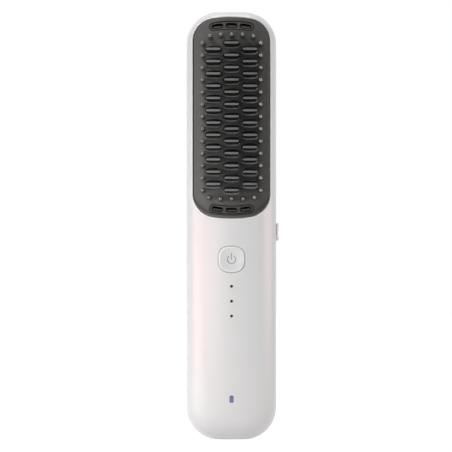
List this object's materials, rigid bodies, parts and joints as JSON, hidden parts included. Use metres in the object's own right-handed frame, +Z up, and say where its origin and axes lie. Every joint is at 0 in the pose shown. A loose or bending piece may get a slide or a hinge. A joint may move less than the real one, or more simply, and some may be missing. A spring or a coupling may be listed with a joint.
{
  "type": "hair straightening brush",
  "caption": "Cordless hair straightening brush: rounded white body, recessed comb head of heated fins and guard pins, power button, side switch, charging socket.",
  "frame": {"origin": "on the flat bottom end, at the middle of the body's width and depth", "axes": "+Z up along the body to the comb head, +X to the right seen from the front, -Y out of the front where the fins are"},
  "size_m": [0.0432, 0.0399, 0.2],
  "materials": {
    "shell_white": "white, satin to gloss moulded plastic",
    "comb_dark": "dark grey heat-resistant plastic",
    "fin_coat": "dark ceramic-coated aluminium, satin",
    "pin_nylon": "dark nylon with polished tips",
    "grille_dark": "dark moulded insert",
    "plate_metal": "plain cast aluminium",
    "heater_ceramic": "white alumina heater",
    "mica": "pressed mica sheet",
    "steel": "plain sheet steel",
    "screw_steel": "zinc-plated steel",
    "sensor_bead": "coated bead",
    "lead_silicone": "red silicone sleeve",
    "ion_case": "potted black case",
    "emitter_block": "dark plastic with a carbon needle",
    "switch_black": "black switch case",
    "switch_metal": "plated switch can",
    "plunger_plastic": "grey plunger",
    "light_guide": "smoke-tinted clear plastic, unlit",
    "battery_window": "blue-grey tinted window, unlit",
    "lamp": "lamp package",
    "board_green": "solder-masked board",
    "chip_black": "moulded chip",
    "ferrite": "ferrite coil",
    "socket_metal": "drawn steel socket",
    "ribbon": "flat cable",
    "cell_sleeve": "sleeved cell, blue shrink film",
    "nickel": "nickel strip",
    "carrier_plastic": "grey moulded carrier"
  },
  "bodies": {
    "housing": {"front_shell": "shell_white", "rear_shell": "shell_white", "comb_frame": "comb_dark", "heating_fins": "fin_coat", "guard_pins": "pin_nylon", "upper_vent_grille": "grille_dark", "lower_vent_grille": "grille_dark", "heating_plate": "plate_metal", "heater_elements": "heater_ceramic", "insulation_sheet": "mica", "heater_clamp": "steel", "thermistor": "sensor_bead", "thermal_fuse": "steel", "heater_leads": "lead_silicone", "clamp_screws": "screw_steel", "plate_screws": "screw_steel", "head_screws": "screw_steel", "ion_module": "ion_case", "ion_emitters": "emitter_block", "tact_switch": "switch_black", "slide_switch": "switch_metal", "light_pipe": "light_guide", "battery_lens": "battery_window", "indicator_leds": "lamp", "control_board": "board_green", "controller_chip": "chip_black", "power_coil": "ferrite", "usb_socket_shell": "socket_metal", "usb_socket_tongue": "switch_black", "usb_board": "board_green", "usb_ribbon": "ribbon", "usb_screws": "screw_steel", "board_screws": "screw_steel", "battery_cell": "cell_sleeve", "battery_tabs": "nickel", "battery_carrier": "carrier_plastic", "carrier_screws": "screw_steel"},
    "power_button": {"power_button": "shell_white", "tact_plunger": "plunger_plastic"},
    "side_switch": {"slide_knob": "shell_white", "slide_lever": "switch_black"}
  },
  "joints": [
    {"name": "power_button_press", "type": "slide", "parent": "housing", "child": "power_button", "axis": [0, 1, 0], "range_m": [0, 0.0005], "stiffness_N_per_m": 2000},
    {"name": "side_switch_slide", "type": "slide", "parent": "housing", "child": "side_switch", "axis": [0, 0, 1], "range_m": [0, 0.0025]}
  ]
}
